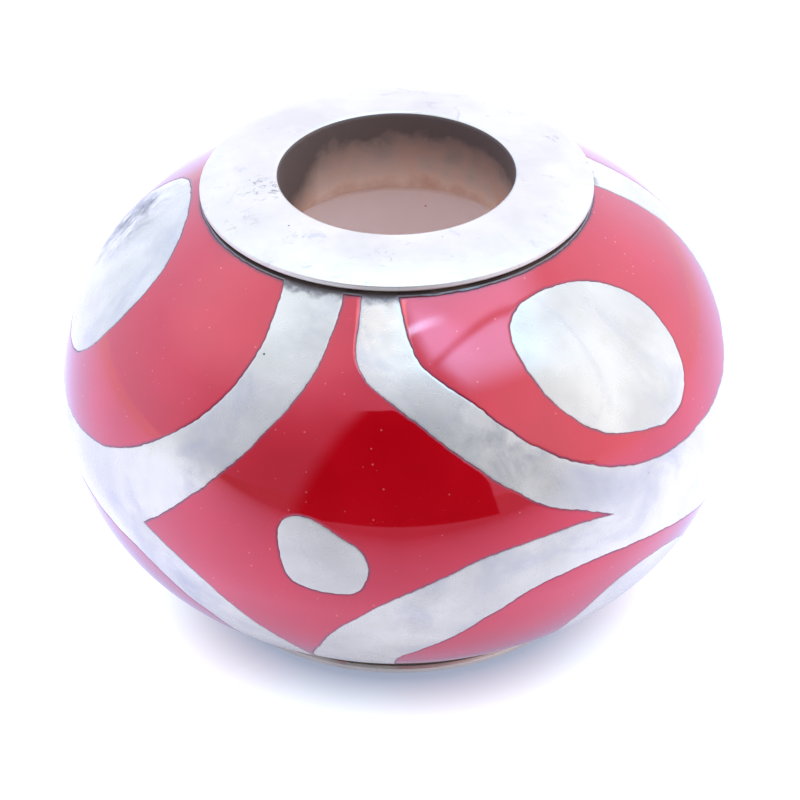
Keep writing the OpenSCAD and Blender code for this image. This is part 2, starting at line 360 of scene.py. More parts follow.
def corner_calm(loop, calm_mm=0.35, corner_deg=25):
    """0 at the loop's sharp corners and 1 away from them, where the hand could stray."""
    xyz = wall_points(loop)
    to = np.roll(xyz, -1, 0) - xyz
    to /= np.linalg.norm(to, axis=1)[:, None]
    bend = (to * np.roll(to, 1, 0)).sum(1)
    corners = xyz[bend < math.cos(math.radians(corner_deg))]
    away = np.linalg.norm(xyz[:, None] - corners[None], axis=2).min(1, initial=calm_mm)
    return np.clip(away / calm_mm, 0, 1) ** 2


def hand_waver(loop):
    """How far the cutter strayed at each point, in mm: two wavers and a few nicks."""
    length = steps_mm(loop, closed=True).sum()
    at = np.arange(len(loop)) / len(loop) * ROUND
    stray = np.zeros(len(loop))
    for size, short, long, waves in WAVERS:
        for _ in range(waves):
            turns = round(length / random_hand.uniform(short, long))
            stray += size / math.sqrt(waves / 2) * np.sin(turns * at + random_hand.uniform(0, ROUND))
    for _ in range(round(length / NICK_EVERY)):
        away = np.abs((at - random_hand.uniform(0, ROUND) + math.pi) % ROUND - math.pi)
        width = random_hand.uniform(*NICK_REACH) / length * ROUND
        stray += random_hand.uniform(-1, 1) * NICK * np.clip(1 - away / width, 0, 1)
    return stray * corner_calm(loop)


ragged = {}
for name, (outer, island) in cells.items():
    ragged[name] = side_step(outer, hand_waver(outer)), side_step(island, hand_waver(island))
print("outline points:", sum(len(a) + len(b) for a, b in ragged.values()))

# %% [markdown]
# ## Distance to the nearest line
#
# The edge of the silver is slightly rounded, and so is the edge of the glass. Both roundings
# depend only on how far a point is from the nearest line of the drawing. A k-d tree finds
# the nearest drawn point quickly, and two short segments beside it give the true distance.
# The sign says which side the point is on: plus on the glass and minus on the silver.

# %% Signed distance to the drawing
TINY = 1e-7
line_places, line_sides, line_next, line_before, line_cell = [], [], [], [], []
for name, (outer, island) in ragged.items():
    for loop, way in ((outer, 1), (island, -1)):
        first = sum(map(len, line_places))
        count = len(loop)
        line_places.append(loop)
        line_sides.append(way)
        line_next.append(first + (np.arange(count) + 1) % count)
        line_before.append(first + (np.arange(count) - 1) % count)
        line_cell.append(np.full(count, list(ragged).index(name)))
line_way = np.concatenate([np.full(len(p), w) for p, w in zip(line_places, line_sides)])
line_next, line_before, line_cell = map(np.concatenate, (line_next, line_before, line_cell))
line_xyz = wall_points(np.concatenate(line_places))


def searched(points):
    """A k-d tree that finds the points near a place."""
    tree = KDTree(len(points))
    for k, point in enumerate(points):
        tree.insert(point, k)
    tree.balance()
    return tree


drawn = searched(line_xyz)


def outward(points):
    """Unit normals of the bead's wall at points in space."""
    flat = points[:, :2]
    away = np.linalg.norm(flat, axis=1)
    side = flat / away[:, None]
    n = np.concatenate([side * (away - ring_r)[:, None], points[:, 2:] - mid_z], 1)
    return n / np.linalg.norm(n, axis=1)[:, None]


def to_line(places):
    """Signed distance in mm to the nearest line, and the cell that line belongs to."""
    points = wall_points(places)
    near = np.array([drawn.find(p)[1] for p in points])
    up = outward(points)
    best = np.full(len(points), np.inf)
    sign = np.zeros(len(points))
    for a, b in ((line_before[near], near), (near, line_next[near])):
        edge = line_xyz[b] - line_xyz[a]
        t = ((points - line_xyz[a]) * edge).sum(1) / (edge * edge).sum(1)
        foot = line_xyz[a] + np.clip(t, 0, 1)[:, None] * edge
        gap = np.linalg.norm(points - foot, axis=1)
        side = (np.cross(up, edge) * (points - foot)).sum(1)
        closer = gap < best - TINY
        tie = np.abs(gap - best) <= TINY
        sign = np.where(closer, side, np.where(tie, sign + side, sign))
        best = np.minimum(gap, best)
    return best * np.where(sign > 0, 1, -1) * line_way[near], line_cell[near]


print("distance at the middle of the front diamond:", to_line([[-13, 30]])[0].round(2))

# %% [markdown]
# ## Triangles between the lines
#
# Each surface is cut into triangles that keep to the drawn lines: a constrained Delaunay
# triangulation. It works on a flat sheet, so the wall is first laid out as a flat ring, in
# the way a Mercator map keeps small shapes true. On the ring there is no seam, and well
# shaped triangles stay well shaped on the bead.

# %% The flat ring and its triangles
table_lat = np.linspace(-85, 85, 3401)
table_rate = section_r / (ring_r + section_r * np.cos(np.radians(table_lat)))
table_climb = np.concatenate([[0], np.cumsum((table_rate[1:] + table_rate[:-1]) / 2)])
table_climb *= math.radians(table_lat[1] - table_lat[0])
table_climb -= np.interp(0, table_lat, table_climb)


def ring_sheet(places):
    """Places laid out on the flat ring, with the top of the bead on its inside."""
    turn = np.radians(places[:, 0])
    away = np.exp(-np.interp(places[:, 1], table_lat, table_climb))
    return np.stack([away * np.cos(turn), away * np.sin(turn)], 1)


def odd_crossings(points, loops):
    """True for each flat point that lies inside an odd number of the loops."""
    inside = np.zeros(len(points), bool)
    x, y = points[:, 0][:, None], points[:, 1][:, None]
    for loop in loops:
        x0, y0 = loop.T
        x1, y1 = np.roll(loop, -1, 0).T
        across = (y0 > y) != (y1 > y)
        with np.errstate(divide="ignore", invalid="ignore"):
            left = x < (x1 - x0) * (y - y0) / (y1 - y0) + x0
        inside ^= (across & left).sum(1) % 2 == 1
    return inside


def tiled(loops, free):
    """Triangles between closed loops, through free points inside them, all as places."""
    places = np.concatenate(list(loops) + [free])
    flat = ring_sheet(places)
    edges, first = [], 0
    for loop in loops:
        count = len(loop)
        edges += [(first + k, first + (k + 1) % count) for k in range(count)]
        first += count
    _, _, faces, origin, _, _ = delaunay_2d_cdt([Vector(p) for p in flat], edges, [], 0, TINY)
    crossed = sum(not o for o in origin)
    if crossed:
        print("lines cross at", [k for k, o in enumerate(origin) if not o])
    faces = [f for f in faces if len(f) == 3 and all(origin[k] for k in f)]
    index = np.array([o[0] if o else 0 for o in origin])
    triangles = index[np.array(faces)]
    on_loops = (triangles < first).all(1)
    keep = ~on_loops
    middles = flat[triangles[on_loops]].mean(1)
    keep[on_loops] = odd_crossings(middles, [ring_sheet(np.asarray(loop)) for loop in loops])
    return places, triangles[keep], crossed


# %% Free points: a fine row along each line, and an even field between
# Steps and distances in mm. ROW_CLEAR and STAGGER are shares of a distance.
NEAR_ROWS = (0.02, 0.05, 0.09)
ROW_CLEAR = 0.93
FIELD_STEP, FLOOR_STEP = 0.13, 0.35
SILVER_CLEAR, GLASS_CLEAR, FLOOR_CLEAR = 0.13, 0.16, 0.2
CROWDED = 0.016
STAGGER = 0.866


def field(step, top_lat):
    """Even staggered points all over the wall, between two lats."""
    rows = []
    for k, lat in enumerate(np.arange(-top_lat, top_lat, step * STAGGER / LAT_MM)):
        count = round(360 * turn_mm(lat) / step)
        turns = (np.arange(count) + 0.5 * (k % 2)) * 360 / count
        rows.append(np.stack([turns, np.full(count, lat)], 1))
    return np.concatenate(rows)


def beside(loop, way, rows=NEAR_ROWS):
    """Rows of points beside a loop, without those that come too near another line."""
    made = []
    for distance in rows:
        row = side_step(loop, np.full(len(loop), way * distance))
        away = np.abs(to_line(row)[0])
        made.append(row[away > ROW_CLEAR * distance])
    return np.concatenate(made)


def spread(points):
    """The points without those that crowd an earlier one."""
    xyz = wall_points(points)
    tree = searched(xyz)
    gone = np.zeros(len(xyz), bool)
    for k, point in enumerate(xyz):
        if not gone[k]:
            for _, other, _ in tree.find_range(point, CROWDED):
                if other > k:
                    gone[other] = True
    return points[~gone]


fine_field, coarse_field = field(FIELD_STEP, end_lat - 1), field(FLOOR_STEP, cell_lat)
fine_reach, fine_cell = to_line(fine_field)
coarse_reach, coarse_cell = to_line(coarse_field)
print("field points:", len(fine_field), "fine and", len(coarse_field), "coarse")

# %% [markdown]
# ## A helper for node trees
#
# Shaders and Geometry Nodes are built the same way: add a node, set what it needs, and
# link what comes into it. One small function does all three, so each tree below reads as
# a list of its steps. A node carries the sockets of all its modes, and only those of the
# chosen mode are in use, so the function counts those alone.

# %% Add a node with its settings and links
MATH, RANGE, MIX = "ShaderNodeMath", "ShaderNodeMapRange", "ShaderNodeMix"
NOISE, VECTOR, PARTS = "ShaderNodeTexNoise", "ShaderNodeVectorMath", "ShaderNodeSeparateXYZ"


def add(tree, kind, inputs=(), **settings):
    """A new node. Its inputs come in the order of its sockets, or by name in a dict. A socket
    is linked, a node passes on its first output, and any other value is set."""
    node = tree.nodes.new(kind)
    for name, value in settings.items():
        setattr(node, name, value)
    in_use = [socket for socket in node.inputs if socket.enabled]
    for key, value in inputs.items() if isinstance(inputs, dict) else enumerate(inputs):
        socket = in_use[key] if isinstance(key, int) else node.inputs[key]
        if isinstance(value, bpy.types.Node):
            value = next(output for output in value.outputs if output.enabled)
        if isinstance(value, bpy.types.NodeSocket):
            tree.links.new(value, socket)
        else:
            socket.default_value = value
    return node


def linear(hex_colour):
    """An sRGB hex colour as the linear values that shaders use."""
    values = [int(hex_colour[k:k + 2], 16) / 255 for k in (1, 3, 5)]
    return [v / 12.92 if v <= 0.04045 else ((v + 0.055) / 1.055) ** 2.4 for v in values] + [1.0]


print("helpers ready")

# %% [markdown]
# ## Finishes
#
# The wall is cast sterling silver, ground flush with the glass and then worn: polished
# silver mirrors its surroundings, but thousands of fine rubs scatter part of the light, so
# its metallic value is well below 1 and it looks nearly white in a white tent. Tarnish,
# knocks and casting pits make it uneven, and the corner under the caps is darkened with
# dirt and painted shade. The enamel is a clear red lead glass over silver, fired and
# polished. The silver below throws the light back, so it keeps some metallic value, and
# dust and bubbles were fired in with it. Its corner under the caps carries painted shade.
# A mauve stain follows each seam, read from the distance stored on the mesh.
#
# Each finish is a recipe: it lays coats of colour over each other, sums up what roughens
# the surface, and gives the shader its inputs. Its sizes are in millimetres. The marks are
# drawn about as fine as the picture can show them.

# %% What the recipes share: blotches, coats and sums
def grain(size_mm):
    """Noise scale for marks of about this size."""
    return 1 / (size_mm * MM)


def blotches(tree, place, look, low, high, least=0.0, most=1.0):
    """Uneven blotches: the least where a noise is below low, and the most above high. Their
    look is a size in mm, and then the noise's detail, roughness and distortion."""
    size_mm, *rest = look
    names = ("Vector", "Scale", "Detail", "Roughness", "Distortion")
    noise = add(tree, NOISE, dict(zip(names, (place, grain(size_mm), *rest))))
    return add(tree, RANGE, (noise, low, high, least, most))


def painted(tree, colour, *coats):
    """A colour under coats of hex colours, each laid on by its own share."""
    for share, coat in coats:
        colour = add(tree, MIX, (share, colour, linear(coat)), data_type="RGBA")
    return colour


def summed(tree, total, *parts):
    """A total to which parts are added, each times its weight."""
    for part, weight in parts:
        total = add(tree, MATH, (part, weight, total), operation="MULTIPLY_ADD")
    return total


def finish(name, recipe, *values):
    """A material whose recipe turns the place on the piece into the shader's inputs."""
    material = bpy.data.materials.new(name)
    material.use_nodes = True
    tree = material.node_tree
    tree.nodes.clear()
    made = recipe(tree, add(tree, "ShaderNodeTexCoord").outputs["Object"], *values)
    shader = add(tree, "ShaderNodeBsdfPrincipled", made) if isinstance(made, dict) else made
    add(tree, "ShaderNodeOutputMaterial", {"Surface": shader})
    return material


# %% Marks: pits, scratches, worn places, grime and the stained seam
def pits(tree, place, cell_mm, share, radius_mm):
    """1 in small round pits, in a share of the cells of an uneven grid, and 0 elsewhere."""
    radius = radius_mm / cell_mm
    cell = add(tree, "ShaderNodeTexVoronoi", {"Vector": place, "Scale": grain(cell_mm)}).outputs
    tone = add(tree, "ShaderNodeSeparateColor", (cell["Color"],)).outputs
    chosen = add(tree, MATH, (tone["Red"], share), operation="LESS_THAN")
    size = add(tree, RANGE, (tone["Green"], 0, 1, 0.35 * radius, radius))
    inside = add(tree, MATH, (size, cell["Distance"]), operation="SUBTRACT")
    return add(tree, MATH, (add(tree, RANGE, (inside, 0, 0.25 * radius)), chosen), operation="MULTIPLY")


def scratches(tree, place, turn_deg, width_mm, length_mm, most):
    """Fine lines that run one way: a noise drawn out along one direction."""
    turned = add(tree, "ShaderNodeMapping", {
        "Vector": place, "Rotation": [0, 0, math.radians(turn_deg)],
        "Scale": [grain(length_mm), grain(width_mm), grain(length_mm)]})
    lines = add(tree, NOISE, {"Vector": turned, "Scale": 1.0, "Detail": 3.0, "Roughness": 0.6})
    return add(tree, RANGE, (lines, 0.62, 0.72, 0, most))


def worn_places(tree, place, spots):
    """Wear around places that have seen knocks. Each spot has its middle and reach in mm and
    its most, and the strongest spot counts."""
    worn = 0.0
    for middle_mm, reach_mm, most in spots:
        away = add(tree, VECTOR, (place, [c * MM for c in middle_mm]), operation="DISTANCE")
        spot = add(tree, RANGE, (away, reach_mm * MM, 0.35 * reach_mm * MM, 0, most),
                   interpolation_type="SMOOTHSTEP")
        worn = add(tree, MATH, (worn, spot), operation="MAXIMUM")
    return worn


def off_middle(tree, place):
    """How far a point is above or below the bead's middle."""
    height_here = add(tree, PARTS, (place,)).outputs["Z"]
    rise = add(tree, MATH, (height_here, mid_z * MM), operation="SUBTRACT")
    return add(tree, MATH, (rise,), operation="ABSOLUTE")


def grime_and_shade_under_caps(tree, place, reach_mm, most):
    """Dirt and painted shade under the caps: full in the corner, and gone beyond its reach."""
    uneven = add(tree, NOISE, {"Vector": place, "Scale": grain(0.25), "Detail": 5.0, "Roughness": 0.65})
    corner = summed(tree, off_middle(tree, place), (uneven, reach_mm * MM))
    start, full = body_half - 0.05 * reach_mm, body_half + 0.4 * reach_mm
    return add(tree, RANGE, (corner, start * MM, full * MM, 0, most), interpolation_type="SMOOTHSTEP")


def contour(tree, place, width_mm, most):
    """The stained seam between silver and glass: the most on the line, 0 past its width."""
    from_line = add(tree, "ShaderNodeAttribute", attribute_name="edge").outputs["Fac"]
    stain = add(tree, RANGE, (from_line, width_mm, 0.15 * width_mm, 0, most))
    uneven = blotches(tree, place, (0.7, 3), 0.35, 0.6, 0.45, 1)
    return add(tree, MATH, (stain, uneven), operation="MULTIPLY")


print("marks ready")

# %% Wall silver: cast sterling silver, ground and polished, worn
BUMP_DEPTH = 0.02 * MM
WALL_SPOTS = [
    [(-5.45, 1.2, 8.25), 1.6, 1.0], [(-1.6, -4.3, 8.7), 0.9, 0.25],
    [(1.7, -5.7, 7.6), 1.1, 0.6], [(2.3, -6.0, 7.0), 0.9, 0.6],
]


def wall_silver(tree, place):
    """Bright and nearly white, with grey and yellow tarnish and soft uneven reflections."""
    tarnish = blotches(tree, place, (2.6, 5, 0.65, 0.6), 0.52, 0.70, 0, 0.75)
    mottle = blotches(tree, place, (0.9, 6, 0.68, 0.5), 0.38, 0.64, 0, 0.9)
    scuff = add(tree, MATH, (mottle, worn_places(tree, place, WALL_SPOTS)), operation="MULTIPLY")
    holes = pits(tree, place, 0.55, 0.16, 0.035)
    colour = painted(
        tree, linear("#C4BEB0"), (blotches(tree, place, (1.8, 3, 0.55), 0.35, 0.65), "#D8D2C2"),
        (tarnish, "#A9A7AA"), (blotches(tree, place, (0.7, 4, 0.6, 0.4), 0.58, 0.74, 0, 0.4), "#C6C0A6"),
        (scuff, "#50525E"), (holes, "#4A4A50"), (contour(tree, place, 0.022, 0.34), "#7A5C6C"),
        # Dirt and painted shade in the corner under the caps
        (grime_and_shade_under_caps(tree, place, 0.26, 0.8), "#4C464C"))
    marked = add(tree, MATH, (scratches(tree, place, 25, 0.02, 0.9, 0.5),
                              scratches(tree, place, -50, 0.02, 0.7, 0.4)), operation="MAXIMUM")
    polish = blotches(tree, place, (0.8, 4), 0.35, 0.65, 0.20, 0.33)
    rough = summed(tree, polish, (tarnish, 0.15), (scuff, 0.3), (marked, 0.1))
    fine = add(tree, NOISE, {"Vector": place, "Scale": grain(0.05)})
    waves = add(tree, NOISE, {"Vector": place, "Scale": grain(0.9)})
    relief = summed(tree, 0.0, (fine, 0.12), (holes, -1.0), (marked, -0.06), (waves, 2.2))
    bump = add(tree, "ShaderNodeBump", {"Height": relief, "Strength": 0.5, "Distance": BUMP_DEPTH})
    return {"Base Color": colour, "Metallic": 0.38, "Roughness": rough, "Normal": bump}


# %% Cap silver: sheet silver rubbed with fine paper
CAP_SPOTS = [
    [(-2.7, -0.6, 9.9), 0.7, 1.0], [(-3.2, -1.7, 9.9), 0.5, 0.45], [(-0.3, -3.3, 9.9), 0.4, 1.0],
    [(-2.0, -2.4, 9.9), 0.45, 0.55], [(3.3, 1.5, 9.9), 0.4, 0.5],
]


def cap_silver(tree, place):
    """Whiter and duller than the wall, with scars round the hole and straight fine rubs."""
    scars = add(tree, MATH, (worn_places(tree, place, CAP_SPOTS),
                             blotches(tree, place, (0.16, 5, 0.7, 0.6), 0.54, 0.66, 0, 0.7)),
                operation="MULTIPLY")
    holes = pits(tree, place, 0.45, 0.2, 0.04)
    colour = painted(
        tree, linear("#D2CABA"), (blotches(tree, place, (1.4, 3, 0.6), 0.35, 0.65), "#DED6C5"),
        (blotches(tree, place, (0.45, 5, 0.65, 0.8), 0.60, 0.70, 0, 0.4), "#A9A8AC"),
        (scars, "#5C5B60"), (holes, "#55555A"))
    rubs = add(tree, MATH, (scratches(tree, place, 12, 0.018, 1.4, 1.0),
                            scratches(tree, place, 68, 0.018, 1.0, 1.0)), operation="MAXIMUM")
    dents = add(tree, MATH, (holes, scars), operation="MAXIMUM")
    waves = add(tree, NOISE, {"Vector": place, "Scale": grain(0.9), "Detail": 3.0})
    relief = summed(tree, 0.0, (waves, 1.2), (dents, -1.0), (rubs, -0.35))
    bump = add(tree, "ShaderNodeBump", {"Height": relief, "Strength": 0.5, "Distance": BUMP_DEPTH})
    return {"Base Color": colour, "Metallic": 0.65, "Normal": bump,
            "Roughness": blotches(tree, place, (0.5, 3), 0.3, 0.7, 0.32, 0.44)}


# %% Bore silver: the same metal left as cast and gone dull
def bore_silver(tree, place):
    """Rough, with a warm colour that is a painted reflection of the glass and the table's light.
    It is darker at its mouth and on the left with painted shade, and paler deep inside with
    painted light."""
    from_middle = off_middle(tree, place)
    patches = add(tree, NOISE, {"Vector": place, "Scale": grain(0.8), "Detail": 4.0, "Roughness": 0.6})
    sideways = add(tree, PARTS, (place,)).outputs["X"]
    on_left = add(tree, RANGE, (sideways, -1.6 * MM, -2.5 * MM, 0, 1.3 * MM))
    mouth = summed(tree, from_middle, (on_left, 1.0), (patches, 1.2 * MM))
    colour = painted(
        tree, linear("#D0A78E"), (add(tree, RANGE, (patches, 0.35, 0.65)), "#E6CDB8"),
        # Painted light: paler deep inside
        (add(tree, RANGE, (from_middle, 3.05 * MM, 2.9 * MM)), "#F8EAE4"),
        # Painted shade: darker at the mouth, and further down on the left
        (add(tree, RANGE, (mouth, 4.1 * MM, 5.1 * MM)), "#665850"),
        (pits(tree, place, 0.5, 0.25, 0.06), "#B86A62"))
    grit = add(tree, NOISE, {"Vector": place, "Scale": grain(0.06), "Detail": 3.0})
    bump = add(tree, "ShaderNodeBump", {"Height": grit, "Strength": 0.4, "Distance": BUMP_DEPTH})
    return {"Base Color": colour, "Metallic": 0.3, "Roughness": 0.6, "Normal": bump}


# %% Red enamel: clear red lead glass over silver, polished
def red_enamel(tree, place):
    """Deep and glossy, with pale dust and bubbles, a dark stain where it meets silver and
    painted shade where it runs under the cap. Lead makes the glass bend light strongly, so
    its index is high. A cold tint on its gleam turns white light on red to the lavender that
    the real one shows."""
    dust = add(tree, MATH, (pits(tree, place, 0.19, 0.34, 0.026), 0.35), operation="MULTIPLY")
    bubbles = add(tree, MATH, (pits(tree, place, 0.12, 0.20, 0.014), 0.3), operation="MULTIPLY")
    specks = add(tree, MATH, (dust, bubbles), operation="MAXIMUM")
    seam = contour(tree, place, 0.060, 0.75)
    colour = painted(
        tree, linear("#C4000F"), (blotches(tree, place, (1.6, 3), 0.3, 0.7), "#D00416"),
        # The last coat is painted shade where the glass runs under the cap
        (specks, "#FF9A86"), (seam, "#6A1632"), (grime_and_shade_under_caps(tree, place, 0.12, 0.8), "#6A000C"))
    return {"Base Color": colour, "Metallic": 0.28, "Roughness": summed(tree, 0.05, (seam, 0.35)),
            "IOR": 2.0, "Specular Tint": (0.35, 0.90, 1.0, 1),
            "Sheen Weight": 0.15, "Sheen Roughness": 0.4, "Sheen Tint": (0.95, 0.9, 1.0, 1)}


silver = finish("ground sterling silver", wall_silver)
cap_finish = finish("rubbed sheet silver", cap_silver)
dull = finish("dull silver of the bore", bore_silver)
glass = finish("clear red enamel over silver", red_enamel)
print("finishes:", ", ".join(material.name for material in (silver, cap_finish, dull, glass)))

# %% [markdown]
# ## Wrapping the flat drawing round the bead
#
# The triangles are still flat: each point only knows its turn, its lat and how far it is
# lifted off the wall. A Geometry Nodes tree wraps them round the bead with the same rule
# for every piece. Its inputs are the bead's real sizes, so the whole surface can be tried
# at another size by changing two numbers. It also adds the slight unevenness that a hand
# leaves when it grinds silver and glass together.

# %% How each tree starts and ends
def geometry_tree(name, **inputs):
    """An empty tree with a geometry socket, and named inputs given by their kind."""
    tree = bpy.data.node_groups.new(name, "GeometryNodeTree")
    tree.interface.new_socket("Geometry", in_out="INPUT", socket_type="NodeSocketGeometry")
    for kind, labels in inputs.items():
        for label in labels:
            tree.interface.new_socket(label, in_out="INPUT", socket_type="NodeSocket" + kind)
    tree.interface.new_socket("Geometry", in_out="OUTPUT", socket_type="NodeSocketGeometry")
    return tree, add(tree, "NodeGroupInput").outputs


def coat(tree, given, geometry, lining):
    """Ends a tree: real geometry, its finish all over, and the lining's own finish."""
    solid = add(tree, "GeometryNodeRealizeInstances", (geometry,))
    coated = add(tree, "GeometryNodeSetMaterial", {"Geometry": solid, "Material": given["Finish"]})
    lined = add(tree, "GeometryNodeSetMaterial", {
        "Geometry": coated, "Selection": lining, "Material": given["Lining finish"]})
    add(tree, "NodeGroupOutput", {"Geometry": lined})


# %% The wrapping tree
def build_wrap():
    tree, given = geometry_tree(
        "wrap round the bead", Material=("Finish", "Lining finish"),
        Float=("Ring radius", "Section radius", "Middle height", "Unevenness", "Uneven width", "Seed"))
    turn, lat, lift, skin = (
        add(tree, "GeometryNodeInputNamedAttribute", {"Name": name}, data_type="FLOAT")
        for name in ("turn", "lat", "lift", "skin"))
    sin_turn, cos_turn, sin_lat, cos_lat = (
        add(tree, MATH, (angle,), operation=kind) for angle in (turn, lat) for kind in ("SINE", "COSINE"))

    def point_at(radius):
        """The place in space of a point this far from the line that the wall curves round."""
        out = summed(tree, given["Ring radius"], (radius, cos_lat))
        rise = summed(tree, given["Middle height"], (radius, sin_lat))
        across = add(tree, MATH, (out, sin_turn), operation="MULTIPLY")
        forward = add(tree, MATH, (out, cos_turn), operation="MULTIPLY")
        back = add(tree, MATH, (forward, -1.0), operation="MULTIPLY")
        return add(tree, "ShaderNodeCombineXYZ", (across, back, rise))

    lifted = add(tree, MATH, (given["Section radius"], lift), operation="ADD")
    fineness = add(tree, MATH, (1.0, given["Uneven width"]), operation="DIVIDE")
    hollows = add(tree, NOISE, {
        "Vector": point_at(lifted), "W": given["Seed"], "Detail": 1.0, "Scale": fineness},
        noise_dimensions="4D")
    depth = add(tree, MATH, (hollows, given["Unevenness"]), operation="MULTIPLY")
    sunk = add(tree, MATH, (depth, skin), operation="MULTIPLY")
    ground = point_at(add(tree, MATH, (lifted, sunk), operation="SUBTRACT"))
    wrapped = add(tree, "GeometryNodeSetPosition", {"Geometry": given["Geometry"], "Position": ground})
    lining = add(tree, "GeometryNodeInputNamedAttribute", {"Name": "lining"}, data_type="BOOLEAN")
    coat(tree, given, wrapped, lining)
    return tree


# %% Running a tree
def run_tree(mesh, name, tree, values):
    """A plain mesh piece made by running a tree on a mesh with the named inputs."""
    raw = bpy.data.objects.new(name + "_raw", mesh)
    bpy.context.scene.collection.objects.link(raw)
    modifier = raw.modifiers.new("made", "NODES")
    modifier.node_group = tree
    for item in tree.interface.items_tree:
        if item.item_type == "SOCKET" and item.in_out == "INPUT" and item.name in values:
            modifier[item.identifier] = values[item.name]
    evaluated = raw.evaluated_get(bpy.context.evaluated_depsgraph_get())
    baked = bpy.data.meshes.new_from_object(evaluated)
    raw.modifiers.remove(modifier)
    bpy.data.objects.remove(raw)
    for attribute in ("turn", "lat", "lift", "skin", "lining"):
        if attribute in baked.attributes:
            baked.attributes.remove(baked.attributes[attribute])
    piece = bpy.data.objects.new(name, baked)
    baked.name = name
    bpy.context.scene.collection.objects.link(piece)
    return piece


wrap = build_wrap()
print("wrap tree:", len(wrap.nodes), "nodes")

# %% [markdown]
# ## Sheets of the flat drawing
#
# A sheet collects points and faces. Each point has a place and a lift; each face can be
# marked as lining, which later gets the dull finish. The wall was ground flush after the
# firing, so silver and glass meet at one level: each drops by only a few thousandths of a
# millimetre at its edge, and a hairline stays between them.

# %% A sheet that collects points and faces
class Sheet:
    def __init__(self):
        self.places, self.lifts, self.skin, self.edge, self.faces, self.lining = [], [], [], [], [], []
        self.count = 0

    def points(self, places, lift, skin=0.0, edge=0.0):
        """Adds points and returns the index of each."""
        count = len(places)
        self.places.append(np.asarray(places, float))
        for store, value in ((self.lifts, lift), (self.skin, skin), (self.edge, edge)):
            store.append(np.broadcast_to(np.asarray(value, float), count))
        self.count += count
        return np.arange(self.count - count, self.count)

    def add_faces(self, faces, lining=False):
        self.faces += [list(map(int, f)) for f in faces]
        self.lining += [lining] * len(faces)

    def band(self, upper, lower, lining=False):
        """Faces between two closed rows, facing left of the way that the rows run."""
        self.add_faces(np.stack([upper, np.roll(upper, -1), np.roll(lower, -1), lower], 1), lining)

    def mesh(self, name):
        places = np.concatenate(self.places)
        made = bpy.data.meshes.new(name)
        flat = np.stack([places[:, 0] * MM, places[:, 1] * MM, np.concatenate(self.lifts) * MM], 1)
        made.from_pydata(flat.tolist(), [], self.faces)
        stored = {"turn": np.radians(places[:, 0]), "lat": np.radians(places[:, 1]),
                  "lift": np.concatenate(self.lifts) * MM, "skin": np.concatenate(self.skin),
                  "edge": np.concatenate(self.edge)}
        for label, values in stored.items():
            store = made.attributes.new(label, "FLOAT", "POINT").data
            store.foreach_set("value", values.astype(np.float32))
        made.attributes.new("lining", "BOOLEAN", "FACE").data.foreach_set("value", self.lining)
        return made


HAIRLINE, RIM_CLEAR = 0.008, 0.98
EDGE_ROUND, EDGE_DROP, GLASS_SINK = 0.03, 0.005, 0.001


def silver_lift(lat, reach):
    return shoulder_lift(lat) - EDGE_DROP * np.clip(1 - np.abs(reach) / EDGE_ROUND, 0, 1) ** 2


def glass_lift(lat, reach):
    edge = np.clip(1 - (reach - HAIRLINE) / EDGE_ROUND, 0, 1) ** 2
    return shoulder_lift(lat) - GLASS_SINK - EDGE_DROP * edge


def place_at(radius, rise):
    """Lat and lift of a point of the half section, given its radius and height over the middle."""
    lat = math.degrees(math.atan2(rise, radius - ring_r))
    return lat, math.hypot(radius - ring_r, rise) - section_r


# %% The silver body: skin, recesses, flat ends and bore
RING_POINTS, BORE_ROWS = 288, 25
RING_TURNS = np.arange(RING_POINTS) * 360 / RING_POINTS


def closed_row(lat):
    return np.stack([RING_TURNS, np.full(RING_POINTS, float(lat))], 1)


def body_sheet():
    sheet = Sheet()
    loops = [closed_row(end_lat), closed_row(-end_lat)]
    loops += [loop for pair in ragged.values() for loop in pair]
    rows = np.concatenate([beside(loop, way) for outer, island in ragged.values()
                           for loop, way in ((outer, -1), (island, 1))])
    rows = rows[(np.abs(rows[:, 1]) < end_lat - 0.3) & (to_line(rows)[0] < 0)]
    free = spread(np.concatenate([rows, fine_field[fine_reach < -SILVER_CLEAR]]))
    places, triangles, crossed = tiled(loops, free)
    reach = to_line(places)[0]
    on_line = np.zeros(len(places), bool)
    on_line[2 * RING_POINTS:sum(map(len, loops))] = True
    reach[on_line] = 0
    skin = sheet.points(places, silver_lift(places[:, 1], reach), 1.0, np.abs(reach))
    sheet.add_faces(skin[triangles])
    first = 2 * RING_POINTS
    for number, pair in enumerate(ragged.values()):
        inside = coarse_field[(coarse_reach > FLOOR_CLEAR) & (coarse_cell == number)]
        floor_places, floor_triangles, _ = tiled(pair, inside)
        floor = sheet.points(floor_places, -recess_depth)
        sheet.add_faces(floor[floor_triangles], True)
        at = 0
        for loop, way in zip(pair, (1, -1)):
            count = len(loop)
            top, low = skin[first:first + count], floor[at:at + count]
            sheet.band(top[::way], low[::way], True)
            first, at = first + count, at + count
    rises = np.linspace(body_half, -body_half, BORE_ROWS)
    bore = [sheet.points(closed_row(lat), lift) for lat, lift in (place_at(bore_r, z) for z in rises)]
    for upper, lower in zip([skin[:RING_POINTS]] + bore, bore + [skin[RING_POINTS:2 * RING_POINTS]]):
        sheet.band(upper, lower, True)
    return sheet, crossed


hand_inputs = {"Ring radius": ring_r * MM, "Section radius": section_r * MM, "Middle height": mid_z * MM,
               "Unevenness": 0.010 * MM, "Uneven width": 2.6 * MM, "Seed": 4.0}
sheet, crossed = body_sheet()
body = run_tree(sheet.mesh("bead_silver"), "bead_silver", wrap,
                {**hand_inputs, "Finish": silver, "Lining finish": dull})
print("silver body:", len(body.data.polygons), "faces, crossed lines:", crossed)
